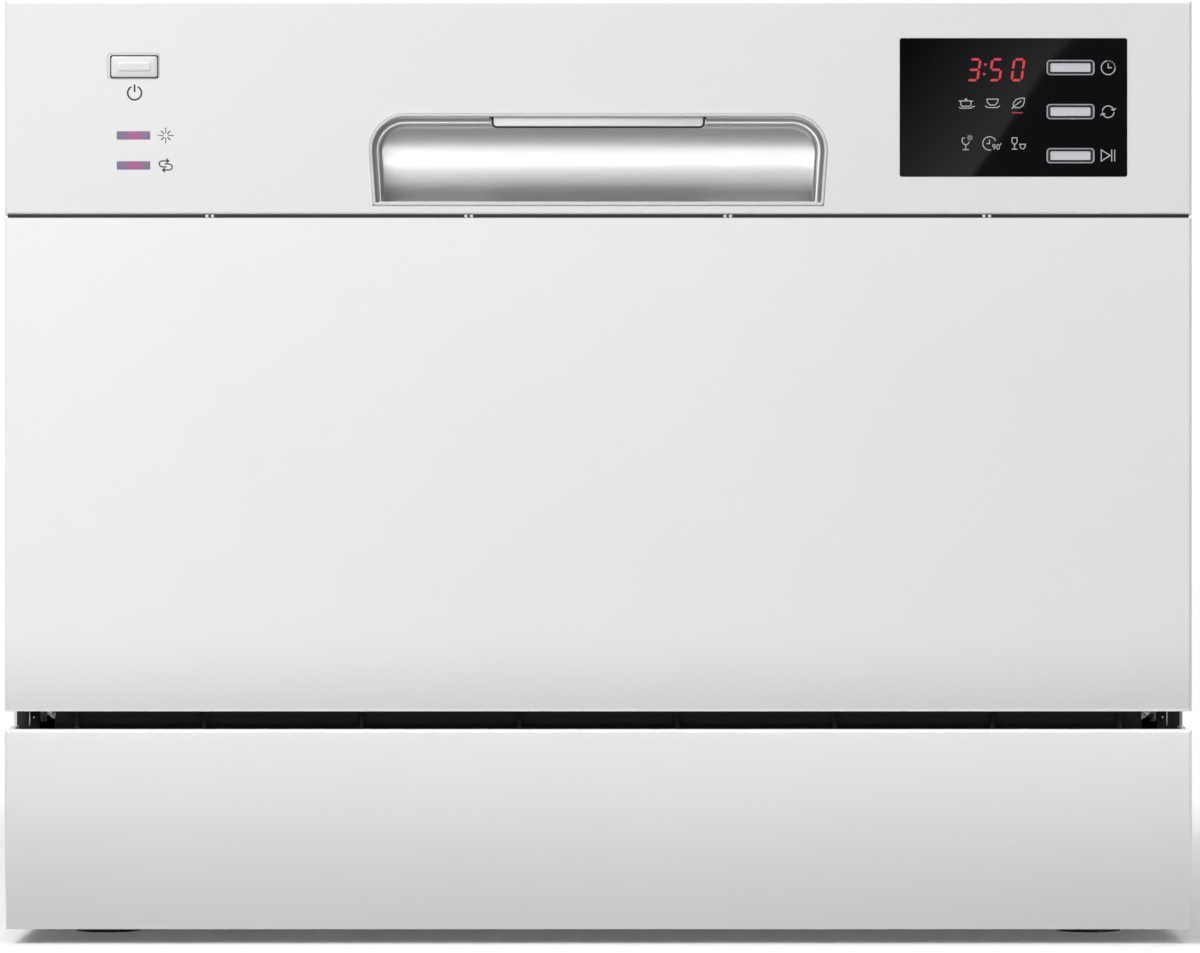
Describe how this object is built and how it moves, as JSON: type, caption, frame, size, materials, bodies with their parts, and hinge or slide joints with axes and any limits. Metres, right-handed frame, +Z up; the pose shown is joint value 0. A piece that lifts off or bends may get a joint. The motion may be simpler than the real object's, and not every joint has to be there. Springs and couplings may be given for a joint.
{
  "type": "countertop dishwasher",
  "caption": "White countertop dishwasher: steel cabinet, drop-down door with handle cup and display, and a wire rack that rolls out.",
  "frame": {"origin": "on the worktop, under the middle of the cabinet", "axes": "+X to the right as seen by the user, +Y towards the rear, +Z up; the door faces -Y"},
  "size_m": [0.55, 0.5, 0.438],
  "materials": {
    "painted_steel": "smooth white enamel",
    "rear_steel": "galvanised and painted, satin",
    "white_plastic": "white, semi-gloss",
    "base_plastic": "black, fine grain",
    "black_plastic": "black, matt",
    "foot_rubber": "matt",
    "zinc_steel": "zinc plated",
    "spring_steel": "bright wire",
    "tub_steel": "stainless, satin",
    "seal_rubber": "soft, matt",
    "grey_plastic": "moulded",
    "white_moulding": "moulded",
    "blue_plastic": "moulded",
    "hose_rubber": "matt",
    "screw_steel": "zinc plated",
    "handle_silver": "brushed along its length",
    "display_black": "deep gloss",
    "ring_plastic": "light grey",
    "lamp_plastic": "translucent violet",
    "board_green": "solder mask",
    "key_silver": "silver lilac",
    "lid_plastic": "pale blue grey",
    "arm_plastic": "light grey",
    "filter_plastic": "grey",
    "rack_coating": "nylon coated wire",
    "basket_plastic": "light grey",
    "wheel_plastic": "light grey"
  },
  "bodies": {
    "cabinet": {"outer_casing": "painted_steel", "rear_panel": "rear_steel", "base_tray": "base_plastic", "toe_guard": "black_plastic", "kick_panel": "white_plastic", "feet": "foot_rubber", "side_frames": "zinc_steel", "door_springs": "spring_steel", "tub_wrap": "tub_steel", "tub_back": "tub_steel", "tub_floor": "tub_steel", "door_seal": "seal_rubber", "sill_seal": "seal_rubber", "strike_plate": "zinc_steel", "sump": "grey_plastic", "softener": "white_moulding", "wash_pump": "grey_plastic", "drain_pump": "grey_plastic", "water_heater": "zinc_steel", "fine_filter": "tub_steel", "spray_post": "grey_plastic", "inlet_valve": "blue_plastic", "drain_spout": "base_plastic", "cord_gland": "black_plastic", "air_breaker": "white_moulding", "inner_hoses": "hose_rubber", "cabinet_screws": "screw_steel"},
    "door": {"door_panel": "painted_steel", "control_console": "white_plastic", "handle_cup": "handle_silver", "display_lens": "display_black", "button_rings": "ring_plastic", "indicator_lamps": "lamp_plastic", "control_boards": "board_green", "door_lock": "black_plastic", "inner_liner": "tub_steel", "dispenser_body": "white_moulding", "hinge_arms": "zinc_steel", "door_screws": "screw_steel"},
    "rack": {"rack_floor": "rack_coating", "rack_ends": "rack_coating", "rack_sides": "rack_coating", "plate_tines": "rack_coating", "cutlery_basket": "basket_plastic"},
    "power_button": {"power_button": "white_plastic"},
    "delay_button": {"delay_button": "key_silver"},
    "program_button": {"program_button": "key_silver"},
    "start_button": {"start_button": "key_silver"},
    "latch_lever": {"latch_lever": "handle_silver"},
    "latch_hook": {"latch_hook": "zinc_steel"},
    "dispenser_lid": {"dispenser_lid": "lid_plastic"},
    "dispenser_catch": {"dispenser_catch": "blue_plastic"},
    "rinse_aid_cap": {"rinse_aid_cap": "blue_plastic"},
    "spray_arm": {"spray_arm": "arm_plastic"},
    "coarse_filter": {"coarse_filter": "filter_plastic"},
    "salt_cap": {"salt_cap": "blue_plastic"},
    "pump_rotor": {"pump_rotor": "white_moulding"},
    "cup_shelf": {"cup_shelf": "rack_coating"},
    "front_wheels": {"front_wheels": "wheel_plastic"},
    "rear_wheels": {"rear_wheels": "wheel_plastic"}
  },
  "joints": [
    {"name": "door_hinge", "type": "hinge", "parent": "cabinet", "child": "door", "pos_m": [0, -0.2282, 0.123], "axis": [1, 0, 0], "range_deg": [0, 90], "deforming": ["door_springs"]},
    {"name": "power_button_press", "type": "slide", "parent": "door", "child": "power_button", "axis": [0, 1, 0], "range_m": [0, 0.0012], "stiffness_N_per_m": 800, "springref_m": -0.0006},
    {"name": "delay_button_press", "type": "slide", "parent": "door", "child": "delay_button", "axis": [0, 1, 0], "range_m": [0, 0.0012], "stiffness_N_per_m": 800, "springref_m": -0.0006},
    {"name": "program_button_press", "type": "slide", "parent": "door", "child": "program_button", "axis": [0, 1, 0], "range_m": [0, 0.0012], "stiffness_N_per_m": 800, "springref_m": -0.0006},
    {"name": "start_button_press", "type": "slide", "parent": "door", "child": "start_button", "axis": [0, 1, 0], "range_m": [0, 0.0012], "stiffness_N_per_m": 800, "springref_m": -0.0006},
    {"name": "latch_lever_pull", "type": "hinge", "parent": "door", "child": "latch_lever", "pos_m": [0, -0.236, 0.3935], "axis": [-1, 0, 0], "range_deg": [0, 12], "stiffness_Nm_per_rad": 0.6, "springref_deg": -11.46},
    {"name": "latch_hook_lift", "type": "hinge", "parent": "door", "child": "latch_hook", "pos_m": [0, -0.214, 0.412], "axis": [1, 0, 0], "range_deg": [0, 6.5]},
    {"name": "dispenser_lid_slide", "type": "slide", "parent": "door", "child": "dispenser_lid", "axis": [-1, 0, 0], "range_m": [0, 0.046]},
    {"name": "dispenser_catch_press", "type": "slide", "parent": "door", "child": "dispenser_catch", "axis": [0, -1, 0], "range_m": [0, 0.002], "stiffness_N_per_m": 500, "springref_m": -0.001},
    {"name": "rinse_aid_cap_turn", "type": "hinge", "parent": "door", "child": "rinse_aid_cap", "pos_m": [0.101, -0.189, 0.262], "axis": [0, 1, 0], "range_deg": [0, 90]},
    {"name": "rack_slide", "type": "slide", "parent": "cabinet", "child": "rack", "axis": [0, -1, 0], "range_m": [0, 0.1185]},
    {"name": "front_wheels_roll", "type": "hinge", "parent": "rack", "child": "front_wheels", "pos_m": [0, -0.118, 0.1656], "axis": [1, 0, 0], "range_deg": [0, 620]},
    {"name": "rear_wheels_roll", "type": "hinge", "parent": "rack", "child": "rear_wheels", "pos_m": [0, 0.137, 0.1656], "axis": [1, 0, 0], "range_deg": [0, 620]},
    {"name": "cup_shelf_fold", "type": "hinge", "parent": "rack", "child": "cup_shelf", "pos_m": [-0.222, -0.06, 0.2622], "axis": [0, -1, 0], "range_deg": [0, 85]},
    {"name": "spray_arm_spin", "type": "hinge", "parent": "cabinet", "child": "spray_arm", "pos_m": [0, 0.01, 0.1652], "axis": [0, 0, 1], "continuous": true},
    {"name": "coarse_filter_turn", "type": "hinge", "parent": "cabinet", "child": "coarse_filter", "pos_m": [0.095, -0.062, 0.1492], "axis": [0, 0, 1], "range_deg": [0, 90]},
    {"name": "salt_cap_turn", "type": "hinge", "parent": "cabinet", "child": "salt_cap", "pos_m": [-0.14, -0.06, 0.1492], "axis": [0, 0, 1], "range_deg": [0, 180]},
    {"name": "pump_rotor_spin", "type": "hinge", "parent": "cabinet", "child": "pump_rotor", "pos_m": [0.06, 0.09, 0.062], "axis": [1, 0, 0], "continuous": true}
  ],
  "couplings": [
    {"joint": "latch_hook_lift", "follows": "latch_lever_pull", "ratio": 0.5},
    {"joint": "rack_slide", "follows": "door_hinge", "m_per_rad": 0.075},
    {"joint": "front_wheels_roll", "follows": "door_hinge", "ratio": 6.8182},
    {"joint": "rear_wheels_roll", "follows": "door_hinge", "ratio": 6.8182}
  ]
}
